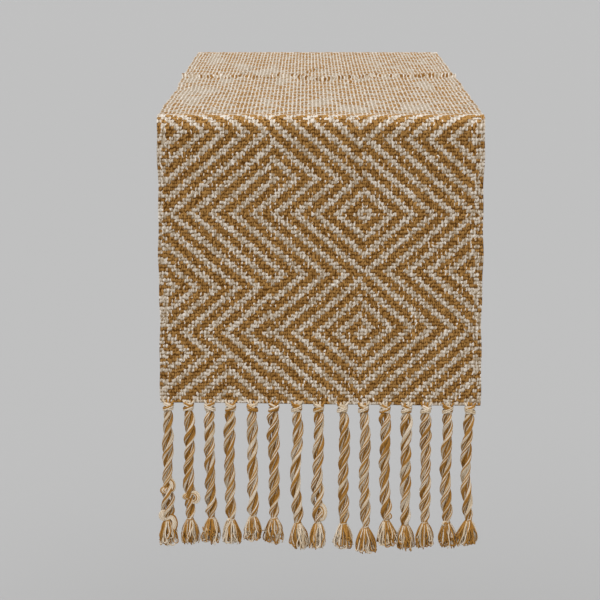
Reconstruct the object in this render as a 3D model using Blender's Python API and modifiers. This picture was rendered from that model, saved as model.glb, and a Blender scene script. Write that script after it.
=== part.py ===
"""Table runner: one woven cloth draped across a table, with a row of twisted tassels along each end.

+Z is up, X runs across the cloth and Y along it, with the front end at -Y. The origin is the centre of the
cloth's underside, where it rests on the table. Metres.
"""

import math

import bpy

# Driving dimensions, in metres unless a name says otherwise.
WIDTH = 0.356  # selvedge to selvedge
THICKNESS = 0.003  # of the woven cloth
TABLE_DEPTH = 0.900  # of the table that the cloth crosses, front edge to back edge
EDGE_RADIUS = 0.008  # underside of the cloth where it turns down over the table's edge
DROP = 0.318  # hem below the table top

FOLD_GAP = 0.0008  # lets a drop lift without touching the turned edge above it
HEM_GAP = 0.0003  # between the hem and a tassel's neck
NECK_RADIUS = 0.0012  # round top of a tassel, centred on its hinge

TASSEL_PITCH = 0.024
KNOT_RADIUS = 0.0045
KNOT_DEPTH = 0.0060  # knot's centre below the hinge
CORD_RADIUS = 0.0042
WAIST_RADIUS = 0.0030  # cord just above and below its end knot
END_KNOT_RADIUS = 0.0044
TUFT_LENGTH = 0.034  # end knot's centre to the tip
TUFT_RADIUS = 0.0085
TASSEL_LENGTHS_MM = (163, 162, 161, 162, 158, 161, 166, 166, 167, 172, 163, 169, 166, 166, 163)
TASSEL_SHIFTS_MM = (-1.5, -3, -3.3, -4, -3.8, -4, -2.4, -2, 0.5, 0, 0, 0, -2.5, -2.2, -1.4)  # off even places

ARC_STEPS = 6  # facets of a quarter turn
ROUND_STEPS = 8  # facets round a tassel

COTTON = ((0.46, 0.34, 0.20), 0.9)  # base colour and roughness
TASSEL_COTTON = ((0.52, 0.41, 0.26), 0.9)


def clear_scene():
    """Removes every object, and every collection that held one."""
    for item in list(bpy.data.objects):
        bpy.data.objects.remove(item, do_unlink=True)
    for group in list(bpy.data.collections):
        bpy.data.collections.remove(group)


def fabric(name, look):
    """A plain cotton material."""
    colour, roughness = look
    material = bpy.data.materials.new(name)
    material.use_nodes = True
    shader = material.node_tree.nodes["Principled BSDF"]
    shader.inputs["Base Color"].default_value = (*colour, 1.0)
    shader.inputs["Roughness"].default_value = roughness
    shader.inputs["Metallic"].default_value = 0.0
    return material


def arc(centre, radius, first_degrees, last_degrees, steps):
    """Points of a circular arc in the section plane, both ends included."""
    angles = [
        math.radians(first_degrees + (last_degrees - first_degrees) * i / steps)
        for i in range(steps + 1)
    ]
    return [(centre[0] + radius * math.cos(a), centre[1] + radius * math.sin(a)) for a in angles]


def extruded_section(name, outline, location, material, parent=None):
    """A prism WIDTH wide across X, from a closed outline of (y, z) points measured from its location."""
    curve = bpy.data.curves.new(name, "CURVE")
    curve.dimensions = "2D"
    curve.fill_mode = "BOTH"
    curve.extrude = WIDTH / 2
    curve.resolution_u = 1
    curve.render_resolution_u = 0
    spline = curve.splines.new("POLY")
    spline.points.add(len(outline) - 1)
    for point, (y, z) in zip(spline.points, outline):
        point.co = (y, z, 0.0, 1.0)
    spline.use_cyclic_u = True
    curve.materials.append(fabric(name, material))
    item = bpy.data.objects.new(name, curve)
    parts.objects.link(item)
    item.parent = parent
    item.location = location
    item.rotation_euler = (math.radians(90), 0.0, math.radians(90))  # section x, y, depth to Y, Z, X
    return item


def turned_piece(name, profile, location, material, parent=None):
    """A solid of revolution about its own Z, from a profile of (radius, z) points, top to bottom."""
    mesh = bpy.data.meshes.new(name)
    edges = [(i, i + 1) for i in range(len(profile) - 1)]
    mesh.from_pydata([(radius, 0.0, z) for radius, z in profile], edges, [])
    mesh.materials.append(fabric(name, material))
    item = bpy.data.objects.new(name, mesh)
    parts.objects.link(item)
    item.parent = parent
    item.location = location
    screw = item.modifiers.new("turn", "SCREW")
    screw.angle = math.radians(360)
    screw.steps = ROUND_STEPS
    screw.render_steps = ROUND_STEPS
    screw.use_merge_vertices = True
    screw.merge_threshold = 0.00001
    screw.use_smooth_shade = True
    return item


def axis_empty(name, location, parent=None):
    """Marks a joint's axis, which runs along X through the empty."""
    empty = bpy.data.objects.new(name, None)
    empty.empty_display_size = 0.02
    parts.objects.link(empty)
    empty.parent = parent
    empty.location = location
    return empty


def top_outline():
    """Section of the cloth on the table: flat, and turned down over both edges of the table."""
    bend = TABLE_DEPTH / 2 - EDGE_RADIUS
    outer = EDGE_RADIUS + THICKNESS
    return (
        arc((bend, -EDGE_RADIUS), outer, 0, 90, ARC_STEPS)
        + arc((-bend, -EDGE_RADIUS), outer, 90, 180, ARC_STEPS)
        + arc((-bend, -EDGE_RADIUS), EDGE_RADIUS, 180, 90, ARC_STEPS)
        + arc((bend, -EDGE_RADIUS), EDGE_RADIUS, 90, 0, ARC_STEPS)
    )


def drop_outline(side):
    """Section of a hanging end, from its joint's axis. side is -1 at the front and 1 at the back."""
    half = THICKNESS / 2
    top = -EDGE_RADIUS - FOLD_GAP
    hem = arc((side * half, half - DROP), half, 180, 360, ARC_STEPS)
    return [(side * half + half, top), (side * half - half, top)] + hem


def tassel_profile(length):
    """A tassel from its neck under the hem: knot, twisted cord, end knot and frayed tuft."""
    neck = arc((0.0, 0.0), NECK_RADIUS, 90, 0, 2)
    knot = arc((0.0, -KNOT_DEPTH), KNOT_RADIUS, 60, -60, 4)
    end_knot = TUFT_LENGTH - length
    return (
        [(0.0, NECK_RADIUS)]
        + neck[1:]
        + knot
        + [
            (CORD_RADIUS, -KNOT_DEPTH - 2 * KNOT_RADIUS),
            (CORD_RADIUS, end_knot + 3 * END_KNOT_RADIUS),
            (WAIST_RADIUS, end_knot + END_KNOT_RADIUS),
            (END_KNOT_RADIUS, end_knot),
            (WAIST_RADIUS, end_knot - END_KNOT_RADIUS),
            (0.75 * TUFT_RADIUS, end_knot - 0.5 * TUFT_LENGTH),
            (TUFT_RADIUS, 0.1 * TUFT_LENGTH - length),
            (0.7 * TUFT_RADIUS, -length),
            (0.0, -length),
        ]
    )


def hanging_end(end, side, lengths_mm, shifts_mm):
    """One drop of the cloth on its fold axis, and its tassels, each on its own axis below the hem."""
    fold = axis_empty(f"{end}_fold_axis", (0.0, side * TABLE_DEPTH / 2, 0.0))
    extruded_section(f"{end}_drop", drop_outline(side), (0.0, 0.0, 0.0), COTTON, parent=fold)
    hinge_z = -DROP - HEM_GAP - NECK_RADIUS
    for i, (length_mm, shift_mm) in enumerate(zip(lengths_mm, shifts_mm)):
        x = (i - (len(lengths_mm) - 1) / 2) * TASSEL_PITCH + shift_mm / 1000
        turned_piece(
            f"{end}_tassel_{i + 1:02d}",
            tassel_profile(length_mm / 1000 - HEM_GAP - NECK_RADIUS),
            (x, side * THICKNESS / 2, hinge_z),
            TASSEL_COTTON,
            parent=fold,
        )


clear_scene()
parts = bpy.data.collections.new("table_runner")
bpy.context.scene.collection.children.link(parts)
extruded_section("cloth_top", top_outline(), (0.0, 0.0, 0.0), COTTON)
# The back end is the front end turned half round.
hanging_end("front", -1, TASSEL_LENGTHS_MM, TASSEL_SHIFTS_MM)
hanging_end("back", 1, TASSEL_LENGTHS_MM[::-1], tuple(-shift for shift in reversed(TASSEL_SHIFTS_MM)))
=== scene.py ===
"""Looks of the table runner: the woven cloth, its tassels, their materials, the light and the camera.

Metres, in the frame of the CAD model: +Z up, X across the cloth, Y along it, the front end at -Y.
"""

import math

import bpy
import numpy as np
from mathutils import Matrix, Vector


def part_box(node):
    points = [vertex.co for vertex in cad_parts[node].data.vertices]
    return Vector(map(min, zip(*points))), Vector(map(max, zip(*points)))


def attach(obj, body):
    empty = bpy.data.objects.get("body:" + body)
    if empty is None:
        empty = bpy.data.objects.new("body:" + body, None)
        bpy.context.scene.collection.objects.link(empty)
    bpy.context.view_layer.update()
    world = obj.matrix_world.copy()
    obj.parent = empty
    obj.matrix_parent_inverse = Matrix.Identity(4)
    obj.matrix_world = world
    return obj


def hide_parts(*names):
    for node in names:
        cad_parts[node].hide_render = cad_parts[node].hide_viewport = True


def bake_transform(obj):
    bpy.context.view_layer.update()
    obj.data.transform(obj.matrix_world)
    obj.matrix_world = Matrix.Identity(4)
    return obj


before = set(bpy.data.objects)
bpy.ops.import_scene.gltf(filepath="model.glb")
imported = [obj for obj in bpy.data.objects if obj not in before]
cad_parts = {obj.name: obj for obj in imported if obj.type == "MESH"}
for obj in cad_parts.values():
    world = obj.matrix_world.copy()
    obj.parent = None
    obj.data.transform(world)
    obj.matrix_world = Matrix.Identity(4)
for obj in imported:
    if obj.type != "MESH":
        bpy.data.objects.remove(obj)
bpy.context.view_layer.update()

# ---------------------------------------------------------------- sizes, read from the frame
TOP_LOW, TOP_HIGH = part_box("cloth_top")
HALF_WIDTH = TOP_HIGH.x
THICKNESS = TOP_HIGH.z
EDGE_RADIUS = -TOP_LOW.z  # underside of the cloth at the table's edge
HALF_TABLE = TOP_HIGH.y - THICKNESS
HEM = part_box("front_drop")[0].z

LOOSE = 0.005  # the cloth turns more slowly than the table's edge does
MIDDLE_RADIUS = EDGE_RADIUS + THICKNESS / 2 + LOOSE  # of the middle of the cloth's thickness, at the edge
HALF_FLAT = HALF_TABLE + THICKNESS / 2 - MIDDLE_RADIUS  # length from the table's middle to a bend
HALF_BENT = HALF_FLAT + math.pi / 2 * MIDDLE_RADIUS  # to the end of the bend
BENT_LOW = THICKNESS / 2 - MIDDLE_RADIUS  # height of the end of the bend
HALF_LENGTH = HALF_BENT + BENT_LOW - HEM  # to the hem

# ---------------------------------------------------------------- weave
ENDS = 78  # yarns across the cloth
PICKS = 390  # yarns along it
SPLIT_PICK = 204  # the cloth is made in two pieces that meet here, just behind the crease
END = 2 * HALF_WIDTH / ENDS
PICK = 2 * HALF_LENGTH / PICKS
# Cells in one repeat of the twill and how many of them are gold: hanging, and on the table.
TWILL, GOLD_CELLS = 5, 3
FLAT_TWILL, FLAT_GOLD_CELLS = 10, 6
# Each block of ends has its own zigzag: first end, +1 or -1 for the way its bands lean, and the
# picks from the front hem where they turn. After the last one they turn every TURN picks.
BLOCKS = (
    (0, -1, (15, 21, 34, 55, 78)),
    (17, -1, (0, 21, 34, 55, 78)),
    (27, -1, (0, 21, 38, 55, 65)),
    (49, 1, (0, 23, 39, 55, 76)),
)
TURN = 17
CENTRE_END, CENTRE_PICK = 49, 55  # middle of a diamond

END_STEPS = np.array([0.0, 0.17, 0.33, 0.5, 0.67, 0.83])  # columns of points in an end
PICK_STEPS = np.array([0.0, 0.24, 0.5, 0.76])  # rows of points in a pick

CORE = 0.0006  # half thickness of the cloth between its nubs
TALLEST = 0.0009
# Half width, half length, height and darkness of a nub: where the cloth hangs, and where it lies on
# the table. A cell is two nubs side by side, or one where it is gold and on the table. A tick shows
# between two ends.
GOLD_NUB = ((0.25 * END, 0.50 * PICK, 0.00080, 0.55), (0.46 * END, 0.85 * PICK, 0.00086, 0.5))
CREAM_NUB = ((0.25 * END, 0.52 * PICK, 0.00082, 0.72), (0.28 * END, 0.75 * PICK, 0.00074, 0.95))
TICK_NUB = ((0.15 * END, 0.46 * PICK, 0.00092, 0.0), (0.14 * END, 0.90 * PICK, 0.00112, 0.0))
# Share of the ticks that show: beside no cream cell, beside one, between two, and on the table.
TICK_SHARE = (0.18, 0.50, 0.80, 0.97)
EDGE_PAINTED_HIGHLIGHT = 0.5  # painted highlight: the yarn is painted this much paler where the cloth goes over the table's edge and light from above falls on it
CREASE_PAINTED_SHADE = 0.5  # painted shade: the gold is painted this much darker in the fold mark, where it lies in the ridge's shade
EDGE_SPREAD = 0.012  # length of the stretch over the table's edge with the painted highlight and taller nubs
EASE = 0.05  # hanging nubs give way to those of the table over this length before the bend
WARP = 0.08  # how far the yarns wander, in cells

# Fold mark across the cloth: places that it goes through, from one long edge to the other.
CREASE = ((-0.178, 0.020), (-0.030, 0.014), (0.004, -0.036), (0.066, 0.029), (0.086, 0.020), (0.178, 0.018))
CREASE_HEIGHT = 0.0042
CREASE_SPREAD = 0.0035
LUMP_SHARE = 0.45  # gold share of the fold mark, in lumps
SPECKLE_SHARE = 0.35  # gold share of the cells at the cloth's edges
WRINKLES = (
    ((-0.108, 0.020), (-0.086, 0.200)),
    ((-0.025, 0.050), (0.012, 0.190)),
    ((0.030, -0.075), (0.080, 0.015)),
)
WRINKLE_HEIGHT = 0.0026
WRINKLE_SPREAD = 0.0026
BOW_Y = -0.15  # one long edge of the cloth bows inwards here
BOW = 0.0028
BOW_SPREAD = 0.10
RIPPLE = 0.0004  # the cloth on the table rises and sinks this much
SWELL = 0.0007  # and the drops swell outwards
HEM_SLOPE = 0.0019  # one corner of the hem hangs this much above its middle, the other below

# ---------------------------------------------------------------- tassels
PLIES = 3
STRANDS = 9  # round the core of a ply
STRAND_RADIUS = 0.00066
CORD_PITCH = 0.056  # length in which the plies go once round
PLY_ORBIT = 0.0036  # middle of a ply from the middle of the cord
PLY_PITCH = 0.11  # length in which a ply's strands go once round it
KNOT_DROP = 0.0044  # middle of the gathering knot below the hem
KNOT_STRAND = 0.00115
KNOT_SLANT = 0.0024  # the bands rise and fall this much
# Height from its middle, radius, strands and slant of each band of the gathering knot.
KNOT_BANDS = (
    (0.0034, 0.0040, 1, 0.3),
    (0.0015, 0.0052, 2, 1.0),
    (-0.0010, 0.0055, 2, -1.0),
    (-0.0030, 0.0046, 1, 0.2),
)
TUFT_DROP = 0.0285  # middle of the end knot above the tip
# Radius, strands and slant of the end knot, and the radius of a strand in it.
END_KNOT = (0.0033, 3, 0.0007, 0.0007)
SWAY = 0.0012  # how far a cord strays from its axis
TUFT_STRANDS = 90
TUFT_POINTS = 18  # of the path of a strand in a tuft
GOLDEN_ANGLE = 2.39996  # turn from one strand of a tuft to the next
FIBRES = 6  # that stand off from a tuft
FIBRE_RADIUS = 0.00016
LOOP_STRANDS = 15  # in a loop that stands out of the cord, in three layers of five
HEM_YARNS = 8  # on the hem above a tassel
HEM_YARN_RADIUS = 0.0011


def srgb(red, green, blue):
    """A colour as a screen shows it, in the linear values that a shader takes."""
    return tuple(c / 12.92 if c < 0.04045 else ((c + 0.055) / 1.055) ** 2.4 for c in (red, green, blue))


def smooth(low, high, value):
    """0 up to low, 1 from high on, and a smooth rise between."""
    t = np.clip((value - low) / (high - low), 0, 1)
    return t * t * (3 - 2 * t)


# ================================================================ cloth
def from_crease(x, along):
    """Distance of places on the cloth from its fold mark, measured along the cloth."""
    waver = 0.0012 * np.sin(21 * x + 0.7) + 0.0006 * np.sin(67 * x)
    return along - HALF_LENGTH - np.interp(x, *zip(*CREASE)) - waver


def zigzag(turns):
    """For each pick, how many cells a block's bands have moved sideways."""
    turns = list(turns)
    while turns[-1] < PICKS:
        turns.append(turns[-1] + TURN)
    picks = np.arange(PICKS)
    slope = np.where(np.searchsorted(turns, picks, side="right") % 2 == 0, 1, -1)
    shift = np.cumsum(slope)
    return shift - shift[CENTRE_PICK]


def soft_noise(shape, random, passes=3):
    """Smooth random values of unit spread on a grid."""
    field = random.normal(size=shape)
    for _ in range(passes):
        for axis in (0, 1):
            field = (np.roll(field, 1, axis) + 2 * field + np.roll(field, -1, axis)) / 4
    return field / field.std()


def draft(random):
    """Which cells of the face are gold: one row for each pick, one column for each end."""
    ends = np.arange(ENDS)
    cells = (PICKS, ENDS)
    phase = np.zeros(cells, int)
    starts = [block[0] for block in BLOCKS] + [ENDS]
    for (start, lean, turns), stop in zip(BLOCKS, starts[1:]):
        phase[:, start:stop] = lean * (ends[start:stop] - CENTRE_END) + zigzag(turns)[:, None]
    along = ((np.arange(PICKS) + 0.5) * PICK)[:, None]
    flat = np.abs(along - HALF_LENGTH) < HALF_FLAT - EASE / 2
    stretches = (PICKS // 5, ENDS)
    slip = np.repeat(np.round(soft_noise(stretches, random)).astype(int), 5, axis=0)
    sparse = np.repeat(soft_noise(stretches, random, passes=6), 5, axis=0)
    sparse = sparse + 0.5 * soft_noise(cells, random) > 1.4
    gold = np.where(
        flat,
        ((phase + slip + FLAT_GOLD_CELLS - 1) % FLAT_TWILL < FLAT_GOLD_CELLS) & ~sparse,
        (phase + GOLD_CELLS) % TWILL < GOLD_CELLS,
    )
    off_crease = from_crease((ends + 0.5) * END - HALF_WIDTH, along)
    lumps = np.repeat(random.random((PICKS // 3, ENDS)) < LUMP_SHARE, 3, axis=0)
    lumps[:, :4] = False
    gold = np.where(np.abs(off_crease) < 3 * PICK, lumps, gold)
    speckled = random.random(cells) < SPECKLE_SHARE
    gold[:, :2] = speckled[:, :2]
    gold[:, -2:] = speckled[:, -2:]
    gold[0] = speckled[0]
    gold[-1] = speckled[-1]
    return gold


def nubs(across, along, gold, random):
    """Height, tint (0 gold, 1 cream) and shade of a face made of the nubs of the draft's cells.

    across and along are the places of its columns and rows of points.
    """
    picks, ends = gold.shape
    away = np.abs((np.arange(picks) + 0.5) * PICK - HALF_LENGTH)
    flat = smooth(HALF_BENT, HALF_FLAT - EASE, away)[:, None]
    # where the cloth goes over the table's edge: taller nubs, and a painted highlight
    at_edge = np.exp(-(((away - HALF_FLAT) / EDGE_SPREAD) ** 2))[:, None]
    points = (len(along), len(across))
    wander_x = across[None, :] + WARP * END * soft_noise(points, random)
    wander_s = along[:, None] + WARP * PICK * soft_noise(points, random)
    row = np.minimum((along / PICK).astype(int), picks - 1)
    cell = np.ix_(row, np.minimum((across / END).astype(int), ends - 1))
    height = np.zeros(points)
    tint = np.where(gold[cell], 0.0, 1.0)
    shade = np.full(points, 0.5)

    def lay(shown, first, step, sizes, cream):
        """Takes in a lattice of nubs wherever one stands above what is there.

        first is the place of its first column, step the distance to the next one.
        """
        half_x, half_s, rise, dark = (hang + (lie - hang) * flat for hang, lie in zip(*sizes))
        half_x = half_x * random.normal(1.0, 0.10, shown.shape)
        half_s = half_s * random.normal(1.0, 0.14, shown.shape)
        middle_x = first + step * np.arange(shown.shape[1]) + random.normal(0, 0.05 * END, shown.shape)
        middle_s = (np.arange(picks)[:, None] + 0.5) * PICK + random.normal(0, 0.11 * PICK, shown.shape)
        on_crease = np.exp(-((from_crease(middle_x - HALF_WIDTH, middle_s) / (2.5 * PICK)) ** 2))
        rise = rise * random.normal(1.0, 0.07, shown.shape) * shown
        rise = rise * (1 + 0.5 * on_crease + 0.3 * at_edge)
        dark = dark + random.uniform(-0.38, 0.38, shown.shape)
        # painted highlight over the table's edge, and painted shade on the gold of the fold mark
        dark = np.clip(dark - EDGE_PAINTED_HIGHLIGHT * at_edge + CREASE_PAINTED_SHADE * (1 - cream) * on_crease, 0, 1)
        nearest = np.round((across - first) / step).astype(int)
        for step_s in (-1, 0, 1):
            j = np.clip(row + step_s, 0, picks - 1)
            for step_x in (-1, 0, 1):
                near = np.ix_(j, np.clip(nearest + step_x, 0, shown.shape[1] - 1))
                off_x = (wander_x - middle_x[near]) / half_x[near]
                off_s = (wander_s - middle_s[near]) / half_s[near]
                bump = rise[near] * np.clip(1 - off_x**2 - off_s**2, 0, 1) ** 0.6
                higher = bump > height
                height[higher] = bump[higher]
                tint[higher] = cream
                shade[higher] = dark[near][higher]

    lay(gold & (flat > 0.5), END / 2, END, GOLD_NUB, 0.0)
    lay(np.repeat(gold & (flat <= 0.5), 2, axis=1), END / 4, END / 2, GOLD_NUB, 0.0)
    lay(np.repeat(~gold, 2, axis=1), END / 4, END / 2, CREAM_NUB, 1.0)
    cream_cells = np.pad(~gold, ((0, 0), (1, 1)), mode="edge").astype(int)
    share = np.take(TICK_SHARE, cream_cells[:, 1:] + cream_cells[:, :-1])
    share = share + (TICK_SHARE[3] - share) * flat
    lay(random.random((picks, ends + 1)) < share, 0.0, END, TICK_NUB, 1.0)
    return height, tint, shade


def wrinkle(x, y, start, stop):
    """Height, up to 1, of a soft fold between two places on the table."""
    run = np.subtract(stop, start)
    length = np.hypot(*run)
    on = ((x - start[0]) * run[0] + (y - start[1]) * run[1]) / length**2
    off = ((x - start[0]) * run[1] - (y - start[1]) * run[0]) / length
    return np.exp(-((off / WRINKLE_SPREAD) ** 2)) * smooth(-0.1, 0.2, on) * smooth(1.1, 0.7, on)


def middle_surface(across, along):
    """Points of the middle of the cloth's thickness, rows along it and columns across it."""
    sigma = along - HALF_LENGTH
    side = np.sign(sigma)
    away = np.abs(sigma)
    turn = np.clip(away - HALF_FLAT, 0, HALF_BENT - HALF_FLAT) / MIDDLE_RADIUS
    hang = np.clip(away - HALF_BENT, 0, None)
    hang_most = HALF_LENGTH - HALF_BENT
    y = side * (np.minimum(away, HALF_FLAT) + MIDDLE_RADIUS * np.sin(turn))
    z = BENT_LOW + MIDDLE_RADIUS * np.cos(turn) - hang
    slope = HEM_SLOPE * hang[:, None] / hang_most * side[:, None]
    x = np.broadcast_to(across - HALF_WIDTH, (len(along), len(across))).copy()
    edge = (np.abs(x) / HALF_WIDTH) ** 6 * np.sign(x)

    y = np.broadcast_to(y[:, None], x.shape).copy()
    z = z[:, None] + slope * x / HALF_WIDTH
    crease = np.exp(-((from_crease(x, along[:, None]) / CREASE_SPREAD) ** 2))
    lumps = np.sin(2 * math.pi * x / (2.6 * END))
    lumps = lumps * (0.5 + 0.5 * np.sin(2 * math.pi * x / (7.3 * END) + 1.0))
    uneven = 0.20 * np.sin(34 * x + 2.0) + 0.16 * np.sin(91 * x)
    z += CREASE_HEIGHT * crease * (0.9 + uneven + 0.22 * lumps)
    on_table = turn[:, None] == 0
    z += RIPPLE * (1 + np.sin(17 * x + 9 * y)) * on_table * (np.sin(8 * y + 1.0) > 0)
    for start, stop in WRINKLES:
        z += WRINKLE_HEIGHT * wrinkle(x, y, start, stop) * on_table
    fall = (hang / hang_most)[:, None]
    swell = np.sin(2 * math.pi * x / 0.31 + 0.6) + 0.5 * np.sin(2 * math.pi * x / 0.14 + 2.2)
    y += side[:, None] * SWELL * np.sqrt(fall) * (1 + swell)
    x += BOW * np.exp(-(((y - BOW_Y) / BOW_SPREAD) ** 2)) * on_table * smooth(0.4, 1.0, -x / HALF_WIDTH)
    waver = 0.0005 * np.sin(along / 0.021) + 0.0004 * np.sin(along / 0.0083)
    x += edge * (0.0004 * crease + waver[:, None])
    return np.stack([x, y, z], axis=-1)


def unit(vectors):
    return vectors / np.linalg.norm(vectors, axis=-1, keepdims=True)


def grid_quads(rows, columns, first, turned=False):
    """Corner numbers of the quads of a grid of points whose numbering starts at first."""
    corner = first + np.arange(rows - 1)[:, None] * columns + np.arange(columns - 1)[None, :]
    order = (0, columns, columns + 1, 1) if turned else (0, 1, columns + 1, columns)
    return np.stack([corner + step for step in order], axis=-1).reshape(-1, 4)


def make_mesh(name, points, faces):
    """A mesh from an array of points and a list of arrays of faces, each with one number of corners."""
    mesh = bpy.data.meshes.new(name)
    corners = np.concatenate([f.ravel() for f in faces]).astype(np.int32)
    sizes = np.concatenate([np.full(len(f), f.shape[1]) for f in faces])
    mesh.vertices.add(len(points))
    mesh.vertices.foreach_set("co", points.astype(np.float32).ravel())
    mesh.loops.add(len(corners))
    mesh.loops.foreach_set("vertex_index", corners)
    mesh.polygons.add(len(sizes))
    starts = np.concatenate([[0], np.cumsum(sizes)[:-1]]).astype(np.int32)
    mesh.polygons.foreach_set("loop_start", starts)
    mesh.polygons.foreach_set("use_smooth", np.ones(len(sizes), bool))
    mesh.update(calc_edges=True)
    mesh.validate()
    return mesh


def add_attribute(mesh, name, kind, values):
    """Stores one value for each point, for the material to read."""
    field = {"FLOAT_COLOR": "color", "FLOAT_VECTOR": "vector"}[kind]
    mesh.attributes.new(name, kind, "POINT").data.foreach_set(field, values.astype(np.float32).ravel())


def cloth_piece(name, first_pick, last_pick, gold, seed, material):
    """A stretch of the cloth between two picks: nubs on both faces, closed at its edges.

    The face away from the table has all rows and columns of points, the other face every second one.
    """
    across = np.append((np.arange(ENDS)[:, None] + END_STEPS).ravel(), ENDS) * END
    along = np.append((np.arange(first_pick, last_pick)[:, None] + PICK_STEPS).ravel(), last_pick) * PICK
    middle = middle_surface(across, along)
    normal = unit(np.cross(np.gradient(middle, axis=1), np.gradient(middle, axis=0)))

    face, tint, shade = nubs(across, along, gold, np.random.default_rng(seed))
    back, back_tint, back_shade = nubs(across[::2], along[::2], ~gold, np.random.default_rng(seed + 1))
    outer = middle + normal * (CORE + face)[..., None]
    inner = middle[::2, ::2] - normal[::2, ::2] * (CORE + back)[..., None]

    rows, columns = face.shape
    back_rows, back_columns = back.shape
    top = np.arange(rows * columns).reshape(rows, columns)
    under = rows * columns + np.arange(back_rows * back_columns).reshape(back_rows, back_columns)

    def wall(outer_edge, inner_edge):
        """Faces that join an edge of the outer face to the same edge of the inner one."""
        outer_steps = [outer_edge[:-2:2], outer_edge[1::2], outer_edge[2::2]]
        return np.stack([*outer_steps, inner_edge[1:], inner_edge[:-1]], axis=-1)

    walls = [
        wall(top[0], under[0])[:, ::-1],
        wall(top[-1], under[-1]),
        wall(top[:, 0], under[:, 0]),
        wall(top[:, -1], under[:, -1])[:, ::-1],
    ]
    faces = [
        grid_quads(rows, columns, 0),
        grid_quads(back_rows, back_columns, rows * columns, turned=True),
        np.concatenate(walls),
    ]
    mesh = make_mesh(name, np.concatenate([outer.reshape(-1, 3), inner.reshape(-1, 3)]), faces)

    def both(front_values, back_values):
        return np.concatenate([front_values.ravel(), back_values.ravel()])

    # the nubs' height, which sets the painted shade in the crevices between them
    height_for_crevice_shade = np.clip(both(face, back) / TALLEST, 0, 1)
    weave = [both(tint, back_tint), height_for_crevice_shade, both(shade, back_shade), np.ones(len(height_for_crevice_shade))]
    add_attribute(mesh, "weave", "FLOAT_COLOR", np.stack(weave, axis=-1))
    grid_x = np.broadcast_to(across, (rows, columns))
    grid_s = np.broadcast_to(along[:, None], (rows, columns))
    place = [both(grid_x, grid_x[::2, ::2]), both(grid_s, grid_s[::2, ::2]), np.zeros(len(height_for_crevice_shade))]
    add_attribute(mesh, "cloth", "FLOAT_VECTOR", np.stack(place, axis=-1))
    mesh.materials.append(material)
    piece = bpy.data.objects.new(name, mesh)
    bpy.context.scene.collection.objects.link(piece)
    return piece


# ================================================================ tassels
class Yarns:
    """Collects round strands, each swept along a path, into one mesh."""

    def __init__(self, sides=6):
        self.sides = sides
        self.points, self.quads, self.caps, self.uv, self.colours = [], [], [], [], []
        self.count = 0

    def add(self, path, radius, tint, shade):
        """Sweeps a circle along an array of points. radius is a number or one for each point."""
        path = np.asarray(path, float)
        n = len(path)
        radius = np.broadcast_to(radius, n)
        tangent = unit(np.gradient(path, axis=0))
        side = np.cross(tangent[0], (0.0, 1.0, 0.0) if abs(tangent[0][1]) < 0.9 else (1.0, 0.0, 0.0))
        frames = np.empty((n, 2, 3))
        for k in range(n):
            side = side - tangent[k] * side.dot(tangent[k])
            side = side / np.linalg.norm(side)
            frames[k] = side, np.cross(tangent[k], side)
        angle = 2 * math.pi * np.arange(self.sides) / self.sides
        ring = column(np.cos(angle)) * frames[:, None, 0] + column(np.sin(angle)) * frames[:, None, 1]
        self.points.append((path[:, None] + ring * radius[:, None, None]).reshape(-1, 3))
        length = np.concatenate([[0], np.cumsum(np.linalg.norm(np.diff(path, axis=0), axis=1))])
        k, m = np.meshgrid(np.arange(n - 1), np.arange(self.sides), indexing="ij")
        after = (m + 1) % self.sides
        first = self.count
        self.quads.append(
            np.stack([k, k, k + 1, k + 1], -1).reshape(-1, 4) * self.sides
            + np.stack([m, after, after, m], -1).reshape(-1, 4)
            + first
        )
        around = np.stack([m, m + 1, m + 1, m], -1) / self.sides
        reach = np.stack([length[k], length[k], length[k + 1], length[k + 1]], -1)
        self.uv.append(np.stack([around, reach], -1).reshape(-1, 2))
        last = first + (n - 1) * self.sides
        self.caps.append(first + np.arange(self.sides)[::-1])
        self.caps.append(last + np.arange(self.sides))
        self.colours.append(np.tile([tint, shade, 1.0, 1.0], (n * self.sides, 1)))
        self.count += n * self.sides

    def build(self, name, material):
        caps = np.array(self.caps)
        mesh = make_mesh(name, np.concatenate(self.points), [np.concatenate(self.quads), caps])
        uv = np.concatenate(self.uv + [np.zeros((caps.size, 2))])
        mesh.uv_layers.new(name="strand").data.foreach_set("uv", uv.astype(np.float32).ravel())
        add_attribute(mesh, "yarn", "FLOAT_COLOR", np.concatenate(self.colours))
        mesh.materials.append(material)
        piece = bpy.data.objects.new(name, mesh)
        bpy.context.scene.collection.objects.link(piece)
        return piece


def column(values):
    return np.asarray(values)[:, None]


def along_z(z):
    """Points on the Z axis."""
    return np.stack([z * 0, z * 0, z], -1)


def wrap(yarns, centre, radius, count, tilt, strand, random, turns=1.2, cream=0.6):
    """A band of strands side by side round the cord, its ends tucked in."""
    share = np.linspace(0, 1, 30)
    start = random.uniform(0.4, 0.6) * math.pi  # the ends go in at the back
    theta = start + 2 * math.pi * turns * share
    tuck = smooth(-0.06, 0.10, share) * smooth(1.06, 0.90, share)
    for k in range(count):
        level = (k - (count - 1) / 2) * 1.75 * strand
        reach = (radius - 0.45 * level**2 / (count * strand)) * tuck * random.uniform(0.97, 1.05)
        rise = level + tilt * np.cos(theta) + 0.12 * strand * np.sin(3 * theta + k)
        path = np.stack([reach * np.cos(theta), reach * np.sin(theta), rise], -1) + centre
        yarns.add(path, strand, float(random.random() < cream), random.random())


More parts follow.
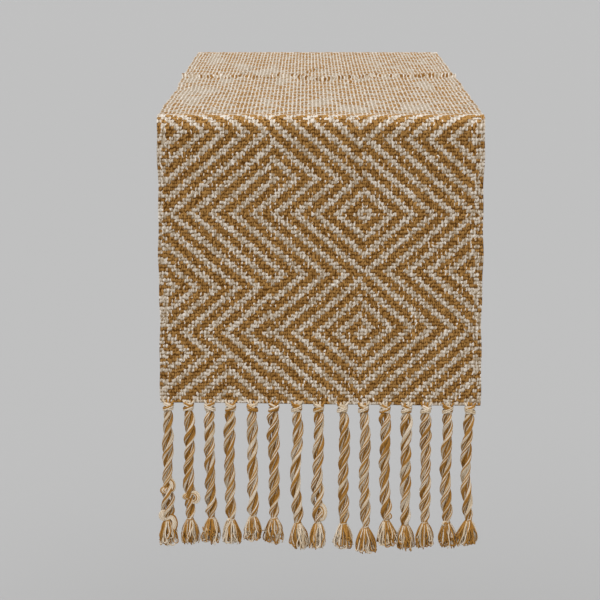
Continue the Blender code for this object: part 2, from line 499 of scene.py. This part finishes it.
def side_loop(yarns, centre, direction, width, height, random):
    """Strands that stand out of the cord in loops, one inside the other, and go back into it."""
    theta = np.linspace(-0.8 * math.pi, 0.8 * math.pi, 22)
    for k in range(LOOP_STRANDS):
        ring, layer = k % 5, k // 5
        size = 1 - (0.1 + ring + 0.5 * layer) * 1.8 * STRAND_RADIUS / width
        path = np.stack(
            [
                direction * size * width * (0.40 + 0.60 * np.cos(theta)),
                -0.0030 + 0.0016 * layer - 0.0010 * np.cos(theta),
                0.5 * size * height * np.sin(theta + 0.12 * layer),
            ],
            -1,
        )
        yarns.add(path + centre, 1.2 * STRAND_RADIUS, float(random.random() < 0.7), random.random())


def cord(yarns, z, middle, knot_z, end_z, style, random):
    """Three plies twisted together, each of parallel strands, along the heights z."""
    share = np.clip((knot_z - z) / (knot_z - end_z), 0, 1)
    turn = 2 * math.pi * z / (CORD_PITCH * random.uniform(0.9, 1.1)) + random.uniform(0, 2 * math.pi)
    narrow = 1 - 0.60 * (1 - smooth(0.0, 0.10, share)) - 0.5 * smooth(0.93, 1.0, share)
    orbit = PLY_ORBIT * narrow
    for start, stop, amount in style.get("open", ()):
        orbit = orbit * (1 + amount * smooth(start, start + 0.06, share) * smooth(stop, stop - 0.06, share))
    for k in range(3):  # a core that fills the middle, in dark gold: painted shade for the inside of the cord
        path = middle(z) + along_z(z) + 0.0007 * np.array([math.cos(2.1 * k), math.sin(2.1 * k), 0.0])
        yarns.add(path, 2.0 * STRAND_RADIUS, 0.0, 1.0)
    for ply in range(PLIES):
        wave = 1 + 0.14 * np.sin(z / random.uniform(0.006, 0.010) + random.uniform(0, 6))
        angle = turn + ply * 2 * math.pi / PLIES + 0.25 * np.sin(z / 0.015 + random.uniform(0, 6))
        out = np.stack([np.sin(angle), -np.cos(angle), z * 0], -1)
        across = np.stack([np.cos(angle), np.sin(angle), z * 0], -1)
        thick = 3.10 + 0.30 * np.sin(z / 0.011 + random.uniform(0, 6))  # in strand radii
        spread = thick * STRAND_RADIUS * (0.35 + 0.65 * narrow)
        roll = 2 * math.pi * z / PLY_PITCH + random.uniform(0, 6)
        for k in range(STRANDS + 1):
            around = roll + 2 * math.pi * (k + random.uniform(-0.15, 0.15)) / STRANDS
            reach = spread * (1 + 0.10 * np.sin(z / 0.005 + random.uniform(0, 6))) if k < STRANDS else 0 * z
            path = out * column(orbit * wave + reach * np.cos(around))
            path = path + across * column(reach * np.sin(around)) + middle(z) + along_z(z)
            cream = (k % 2 == 0) != (random.random() < 0.2)
            yarns.add(path, STRAND_RADIUS, float(cream), random.random())


def tuft(yarns, top, length, style, random):
    """Frayed yarns below the end knot: a bell of strands, some with curled or looped ends."""
    flare = style.get("flare", 1.0)
    curled = style.get("curl", 0.3)
    looped = curled + style.get("looped", 0.3)
    lean = random.normal(0, 0.0016, 2)
    groups = random.permutation([0.3, 0.7] * 7)  # cream strands' share, round the tuft
    for k in range(TUFT_STRANDS):
        layer = math.sqrt((k + 1) / TUFT_STRANDS)
        turn = GOLDEN_ANGLE * k + random.uniform(-0.2, 0.2)
        u = np.linspace(0, 1, TUFT_POINTS)
        bell = np.sin(math.pi * u / 1.3) ** 0.8
        width = 0.0004 + layer * (0.0028 + 0.0060 * bell + 0.0022 * flare * u**1.5)
        width = width + 0.0005 * np.sin(7 * u + random.uniform(0, 6)) * u
        angle = turn + 0.45 * random.normal() * u + 0.14 * np.sin(9 * u + random.uniform(0, 6)) * u
        own = length * random.uniform(0.84, 1.0)
        path = np.stack([width * np.cos(angle), width * np.sin(angle), -own * u], -1)
        kind = random.random()
        if kind < curled:  # the end curls round
            first = int(TUFT_POINTS * random.uniform(0.5, 0.7))
            bend = random.uniform(2.8, 5.0) * (u[first:] - u[first]) / (1 - u[first])
            aside = angle[-1] + math.pi + random.uniform(-1.3, 1.3)
            aside = np.array([math.cos(aside), math.sin(aside), 0.0])
            step = column(np.cos(bend)) * np.array([0, 0, -1.0]) + column(np.sin(bend)) * aside
            path[first:] = path[first] + (np.cumsum(step, axis=0) - step[0]) * own / (TUFT_POINTS - 1)
        elif kind < looped:  # it turns back up in a loop
            swing = turn + random.choice([-1, 1]) * random.uniform(0.5, 1.0) * smooth(0.45, 0.85, u)
            reach = np.interp(np.clip(u / 0.62, 0, 1), u, width) * (1 - 0.35 * smooth(0.55, 1.0, u))
            rise = np.where(u < 0.6, np.sin(math.pi / 2 * u / 0.6), np.cos(0.9 * (u - 0.6) / 0.4))
            path = np.stack([reach * np.cos(swing), reach * np.sin(swing), -0.97 * own * rise], -1)
        path[:, :2] += column(u**1.5) * lean
        path[:, 0] += 0.0007 * layer * np.sin(8 * u + random.uniform(0, 6)) * u
        tint = float(random.random() < groups[int(len(groups) * turn / (2 * math.pi)) % len(groups)])
        yarns.add(path + top, 1.1 * STRAND_RADIUS * (1 - 0.15 * u), tint, random.random())
    for _ in range(FIBRES):
        u = np.linspace(0, 1, 10)
        turn = random.uniform(0, 2 * math.pi)
        width = 0.004 + random.uniform(0.004, 0.006) * u**0.8
        bow = 0.0008 * np.sin(8 * u + turn)
        path = np.stack([width * math.cos(turn) + bow, width * math.sin(turn) + bow, -0.9 * length * u], -1)
        yarns.add(path + top, FIBRE_RADIUS, 1.0, random.random())


def hem_point(x, side):
    """Middle of the cloth's thickness at its hem."""
    along = np.array([0.0, 0.001]) if side < 0 else np.array([2 * HALF_LENGTH - 0.001, 2 * HALF_LENGTH])
    points = middle_surface(np.array([x + HALF_WIDTH]), along)
    return points[0 if side < 0 else -1, 0]


def tassel(name, node, side, style, material):
    """A tassel in place of its CAD node. side is -1 at the front and 1 at the back."""
    low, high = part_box(node)
    random = np.random.default_rng(style["seed"])
    yarns = Yarns()
    axis = np.array([(low.x + high.x) / 2, (low.y + high.y) / 2, 0.0])
    hem = hem_point(axis[0], side)
    knot_z = hem[2] - KNOT_DROP
    end_z = low.z + TUFT_DROP
    sway = random.normal(0, SWAY, 5)
    away = (hem[1] - axis[1]) * -side  # the hem stands out this much from the axis

    def middle(z):
        """How far the middle of the cord is from the axis at each height."""
        t = np.clip((knot_z - z) / (knot_z - low.z), 0, 1)
        x = sway[0] * np.sin(math.pi * t * 1.3) + sway[1] * t + style.get("lean", 0.0) * t**1.5
        x = x + 0.5 * sway[4] * np.sin(3.1 * math.pi * t)
        y = -away * (1 - t) ** 3 + sway[2] * np.sin(math.pi * t * 1.7) + sway[3] * t
        return np.stack([x, y, z * 0], -1)

    def at(share):
        """The middle of the cord at a share of the way from the gathering knot to the end knot."""
        z = np.array([knot_z + (end_z - knot_z) * share])
        return middle(z)[0] + (0, 0, z[0])

    cord(yarns, np.linspace(knot_z, end_z, 56), middle, knot_z, end_z, style, random)

    # Gathering knot: bands that cross in front, widest half way down.
    slant = KNOT_SLANT * random.choice([-1, 1])
    for level, radius, count, tilt in KNOT_BANDS:
        wrap(yarns, at(0) + (0, 0, level), radius, count, tilt * slant, KNOT_STRAND, random, cream=0.65)

    # End knot, and whatever else is knotted or looped along the cord.
    wrap(yarns, at(1.0), *END_KNOT, random)
    for share, radius in style.get("knots", ()):
        wrap(yarns, at(share), radius, 3, 0.0020, 1.2 * STRAND_RADIUS, random)
        wrap(yarns, at(share) - (0, 0, 0.001), radius, 2, -0.0020, 1.2 * STRAND_RADIUS, random)
    for share, direction, width, height in style.get("loops", ()):
        side_loop(yarns, at(share), direction, width, height, random)
    tuft(yarns, at(1.0), at(1.0)[2] - low.z, style, random)

    facing = np.array([-side, -side, 1.0])
    for block in yarns.points:
        block *= facing
        block += axis
    piece = yarns.build(name, material)
    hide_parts(node)
    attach(piece, node)
    return piece


def hem_stitches(end, side, places, material):
    """Yarns of the cloth that gather on both its faces above each tassel, into the knot below."""
    random = np.random.default_rng(11 + side)
    yarns = Yarns()
    for x in places:
        hem = hem_point(x, side)
        for k in range(HEM_YARNS):
            face = 1 if k % 2 else -1
            place = (k // 2 - 1.5) / 1.5
            share = np.linspace(0, 1, 9)
            height = random.uniform(0.0018, 0.0040)
            out = face * (0.0006 + 0.0010 * np.sin(math.pi * share) ** 0.7) * (1 - 0.3 * share)
            path = np.stack(
                [
                    x + place * (0.0062 - 0.0036 * share) + 0.0003 * np.sin(6 * share + k),
                    hem[1] + out,
                    hem[2] + height * (1 - share) - 0.0022 * share,
                ],
                -1,
            )
            yarns.add(path, HEM_YARN_RADIUS, float(random.random() < 0.6), random.random())
    piece = yarns.build(f"{end}_hem_yarns", material)
    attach(piece, f"{end}_drop")
    return piece


# ================================================================ materials
def new_material(name):
    """An empty node material, with its node and link makers."""
    material = bpy.data.materials.new(name)
    material.use_nodes = True
    tree = material.node_tree

    def add(kind, **settings):
        node = tree.nodes.new(kind)
        for key, value in settings.items():
            setattr(node, key, value)
        return node

    def link(source, target):
        tree.links.new(source, target)

    return material, tree.nodes["Principled BSDF"], add, link


def calculate(add, link, operation, *values):
    """A Math node on numbers or sockets, and its result."""
    node = add("ShaderNodeMath", operation=operation)
    for socket, value in zip(node.inputs, values):
        if isinstance(value, (int, float)):
            socket.default_value = value
        else:
            link(value, socket)
    return node.outputs[0]


def mixed(add, link, factor, first, second, blend="MIX"):
    """A colour mix. first and second are linear colours or sockets."""
    node = add("ShaderNodeMix", data_type="RGBA", blend_type=blend)
    for socket, value in ((node.inputs[0], factor), (node.inputs[6], first), (node.inputs[7], second)):
        if isinstance(value, tuple):
            socket.default_value = (*value, 1.0)
        elif isinstance(value, (int, float)):
            socket.default_value = value
        else:
            link(value, socket)
    return node.outputs[2]


def noise(add, link, vector, scale, detail=2.0):
    node = add("ShaderNodeTexNoise")
    node.inputs["Scale"].default_value = scale
    node.inputs["Detail"].default_value = detail
    link(vector, node.inputs["Vector"])
    return node.outputs["Fac"]


CREAM = (srgb(0.92, 0.89, 0.85), srgb(0.60, 0.515, 0.395))  # light and dark
GOLD = (srgb(0.71, 0.54, 0.31), srgb(0.46, 0.31, 0.12))
PAINTED_CREVICE_SHADE = (srgb(0.33, 0.20, 0.03), srgb(0.48, 0.38, 0.25))  # painted shade in the crevices between gold nubs and between cream ones, and in the grooves of the tassels' strands
TASSEL_CREAM = (srgb(0.92, 0.87, 0.80), srgb(0.77, 0.68, 0.54))
TASSEL_GOLD = (srgb(0.74, 0.55, 0.28), srgb(0.58, 0.395, 0.14))


def yarn_colour(add, link, tint, shade, mottle, creams, golds):
    """Cream or gold by tint, each between its light and dark tone."""
    mottled = calculate(add, link, "MULTIPLY_ADD", mottle, 0.9, -0.32)
    tone = calculate(add, link, "MULTIPLY_ADD", shade, 0.75, mottled)
    cream = mixed(add, link, tone, *creams)
    gold = mixed(add, link, tone, *golds)
    return mixed(add, link, tint, gold, cream)


def cloth_material():
    material, shader, add, link = new_material("woven_cotton")
    weave = add("ShaderNodeAttribute", attribute_name="weave")
    parts = add("ShaderNodeSeparateColor")
    link(weave.outputs["Color"], parts.inputs[0])
    place = add("ShaderNodeAttribute", attribute_name="cloth").outputs["Vector"]
    fibre = noise(add, link, place, 1400, 3.0)
    drawn_out = add("ShaderNodeVectorMath", operation="MULTIPLY")
    drawn_out.inputs[1].default_value = (1.0, 0.5, 1.0)
    link(place, drawn_out.inputs[0])
    blur = noise(add, link, drawn_out.outputs[0], 700, 2.0)
    wander = calculate(add, link, "MULTIPLY_ADD", fibre, 0.35, -0.175)
    edge = calculate(add, link, "ADD", parts.outputs[0], wander)
    sharp = add("ShaderNodeMapRange", interpolation_type="SMOOTHSTEP")
    sharp.inputs["From Min"].default_value = 0.38
    sharp.inputs["From Max"].default_value = 0.62
    link(edge, sharp.inputs[0])
    colour = yarn_colour(add, link, sharp.outputs[0], parts.outputs[2], blur, CREAM, GOLD)
    # painted shade in the crevices: the lower a point, the nearer its colour to the crevice shade
    height_for_crevice_shade = add("ShaderNodeMapRange", interpolation_type="SMOOTHSTEP")
    height_for_crevice_shade.inputs["From Min"].default_value = 0.05
    height_for_crevice_shade.inputs["From Max"].default_value = 0.60
    link(parts.outputs[1], height_for_crevice_shade.inputs[0])
    painted_crevice_shade = mixed(add, link, sharp.outputs[0], *PAINTED_CREVICE_SHADE)
    link(mixed(add, link, height_for_crevice_shade.outputs[0], painted_crevice_shade, colour), shader.inputs["Base Color"])
    link(calculate(add, link, "MULTIPLY_ADD", fibre, 0.2, 0.75), shader.inputs["Roughness"])
    shader.inputs["Sheen Weight"].default_value = 0.04
    shader.inputs["Sheen Roughness"].default_value = 0.5
    shader.inputs["Specular IOR Level"].default_value = 0.1
    bump = add("ShaderNodeBump")
    bump.inputs["Strength"].default_value = 0.6
    bump.inputs["Distance"].default_value = 0.0003
    link(fibre, bump.inputs["Height"])
    link(bump.outputs[0], shader.inputs["Normal"])
    return material


def tassel_material():
    material, shader, add, link = new_material("tassel_cotton")
    yarn = add("ShaderNodeAttribute", attribute_name="yarn")
    parts = add("ShaderNodeSeparateColor")
    link(yarn.outputs["Color"], parts.inputs[0])
    uv = add("ShaderNodeUVMap", uv_map="strand").outputs[0]
    axes = add("ShaderNodeSeparateXYZ")
    link(uv, axes.inputs[0])
    place = add("ShaderNodeTexCoord").outputs["Object"]
    blur = noise(add, link, place, 300, 2.0)
    fibre = noise(add, link, place, 2500, 2.0)
    turns = calculate(add, link, "MULTIPLY", axes.outputs[1], 2 * math.pi / 0.0035)
    angle = calculate(add, link, "MULTIPLY_ADD", axes.outputs[0], 4 * math.pi, turns)
    ply = calculate(add, link, "SINE", angle)
    colour = yarn_colour(add, link, parts.outputs[0], parts.outputs[1], blur, TASSEL_CREAM, TASSEL_GOLD)
    groove = calculate(add, link, "MULTIPLY_ADD", ply, 0.5, 0.5)
    groove = calculate(add, link, "POWER", groove, 0.5)
    # painted shade: the grooves between a ply's twisted strands are painted towards the gold crevice shade
    shaded = mixed(add, link, calculate(add, link, "MULTIPLY_ADD", groove, -0.32, 0.32), colour, PAINTED_CREVICE_SHADE[0])
    link(shaded, shader.inputs["Base Color"])
    link(calculate(add, link, "MULTIPLY_ADD", fibre, 0.2, 0.75), shader.inputs["Roughness"])
    shader.inputs["Sheen Weight"].default_value = 0.04
    shader.inputs["Sheen Roughness"].default_value = 0.5
    shader.inputs["Specular IOR Level"].default_value = 0.1
    bump = add("ShaderNodeBump")
    bump.inputs["Strength"].default_value = 0.8
    bump.inputs["Distance"].default_value = 0.0003
    link(calculate(add, link, "MULTIPLY_ADD", fibre, 0.3, groove), bump.inputs["Height"])
    link(bump.outputs[0], shader.inputs["Normal"])
    return material


# ================================================================ camera, floor and light
CAMERA_AHEAD = 2.33  # of the front of the hanging cloth
CAMERA_ABOVE = 0.25  # over the cloth on the table
CAMERA_LEFT = 0.0142
CAMERA_PITCH = math.radians(11.0)
CAMERA_YAW = math.radians(0.21)
FOCAL_MM = 129.2
SENSOR_MM = 36.0
FLOOR_Z = -1.0
SKY_STRENGTH = 0.65
LIGHT_STRENGTH = 2.1
LIGHT_SOFTNESS = 70  # degrees that the light spans
LIGHT_ELEVATION = 56
LIGHT_LEFT = 12  # to the left of the camera


def set_camera():
    camera = bpy.data.cameras.new("camera")
    camera.lens = FOCAL_MM
    camera.sensor_width = SENSOR_MM
    camera.clip_end = 50
    holder = bpy.data.objects.new("camera", camera)
    bpy.context.scene.collection.objects.link(holder)
    holder.location = (-CAMERA_LEFT, -HALF_TABLE - THICKNESS - CAMERA_AHEAD, THICKNESS + CAMERA_ABOVE)
    holder.rotation_euler = (math.pi / 2 - CAMERA_PITCH, 0.0, CAMERA_YAW)
    bpy.context.scene.camera = holder


def set_studio():
    bpy.ops.mesh.primitive_plane_add(size=60, location=(0, 12, FLOOR_Z))
    floor = bpy.context.object
    floor.name = "studio_floor"
    material, shader, _, _ = new_material("studio_paper")
    shader.inputs["Base Color"].default_value = (*srgb(0.69, 0.69, 0.69), 1)
    shader.inputs["Roughness"].default_value = 0.9
    shader.inputs["Specular IOR Level"].default_value = 0.1
    floor.data.materials.append(material)
    world = bpy.data.worlds.new("studio")
    world.use_nodes = True
    world.node_tree.nodes["Background"].inputs["Color"].default_value = (1, 1, 1, 1)
    world.node_tree.nodes["Background"].inputs["Strength"].default_value = SKY_STRENGTH
    bpy.context.scene.world = world
    light = bpy.data.lights.new("window_light", "SUN")
    light.energy = LIGHT_STRENGTH
    light.angle = math.radians(LIGHT_SOFTNESS)
    holder = bpy.data.objects.new("window_light", light)
    bpy.context.scene.collection.objects.link(holder)
    holder.rotation_euler = (math.radians(90 - LIGHT_ELEVATION), 0.0, math.radians(-LIGHT_LEFT))
    bpy.context.scene.view_settings.view_transform = "Standard"


# ================================================================ the object
def styles(end, count):
    """How each tassel of an end differs from the others. The back end is the front end turned round.

    open: from and to which share of the cord its plies stand apart, and by how much. knots: share and
    radius. loops: share, side, width and height. curl and looped: shares of the tuft's strands that
    end so. flare: how wide the tuft spreads. lean: how far its tip is off to the side.
    """
    own = {
        0: {
            "loops": (
                (0.69, 1, 0.0090, 0.016),
                (0.73, -1, 0.0075, 0.008),
                (0.95, -1, 0.0095, 0.012),
                (1.02, 1, 0.0110, 0.020),
            ),
            "open": ((0.74, 0.97, 0.45),),
            "curl": 0.5,
            "lean": -0.003,
            "flare": 1.8,
        },
        1: {
            "knots": ((0.81, 0.0030),),
            "loops": ((0.80, 1, 0.0120, 0.0140), (0.79, -1, 0.0075, 0.007)),
            "open": ((0.74, 0.88, -0.45), (0.88, 1.0, 0.15)),
            "curl": 0.0,
            "looped": 0.0,
        },
        2: {"open": ((0.78, 0.98, 0.30),), "curl": 0.4, "flare": 1.5},
        3: {"curl": 0.3, "open": ((0.0, 0.30, 0.25),), "loops": ((1.0, -1, 0.0045, 0.003),)},
        4: {"curl": 0.5, "open": ((0.88, 1.0, 0.2),)},
        5: {"flare": 1.4, "curl": 0.4, "open": ((0.0, 0.40, 0.30),)},
        6: {"curl": 0.1, "looped": 0.1, "open": ((0.80, 0.95, 0.2),)},
        7: {
            "open": ((0.66, 0.95, 0.35),),
            "loops": ((0.90, 1, 0.0100, 0.020),),
            "curl": 0.0,
            "looped": 0.2,
        },
        8: {"curl": 0.5, "looped": 0.4, "flare": 1.6},
        9: {"flare": 2.4, "curl": 0.2, "lean": 0.002},
        10: {"open": ((0.0, 0.16, 0.25),), "loops": ((0.95, 1, 0.006, 0.007),), "curl": 0.4, "flare": 2.0},
        11: {"open": ((0.04, 0.25, 0.22),), "curl": 0.4},
        12: {"curl": 0.5, "open": ((0.0, 0.30, 0.20),)},
        13: {"open": ((0.68, 0.97, 0.25),), "loops": ((1.0, -1, 0.0055, 0.005),)},
        14: {"flare": 2.2, "curl": 0.1, "looped": 0.1},
    }
    random = np.random.default_rng({"front": 41, "back": 83}[end])
    out = []
    for i in range(count):
        style = own[i if end == "front" else count - 1 - i]
        out.append({"seed": int(random.integers(1_000_000)), **style})
    return out


def build():
    cloth = cloth_material()
    yarn = tassel_material()
    gold = draft(np.random.default_rng(5))
    for end, side, first, last in (("front", -1, 0, SPLIT_PICK), ("back", 1, SPLIT_PICK, PICKS)):
        piece = cloth_piece(f"{end}_cloth", first, last, gold, 7, cloth)
        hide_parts(*(["cloth_top", "front_drop"] if end == "front" else ["back_drop"]))
        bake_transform(piece)
        nodes = sorted(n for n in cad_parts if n.startswith(f"{end}_tassel"))
        fringe = [
            tassel(f"{node}_yarn", node, side, style, yarn)
            for node, style in zip(nodes, styles(end, len(nodes)))
        ]
        places = [(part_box(node)[0].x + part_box(node)[1].x) / 2 for node in nodes]
        fringe.append(hem_stitches(end, side, places, yarn))


set_camera()
set_studio()
build()
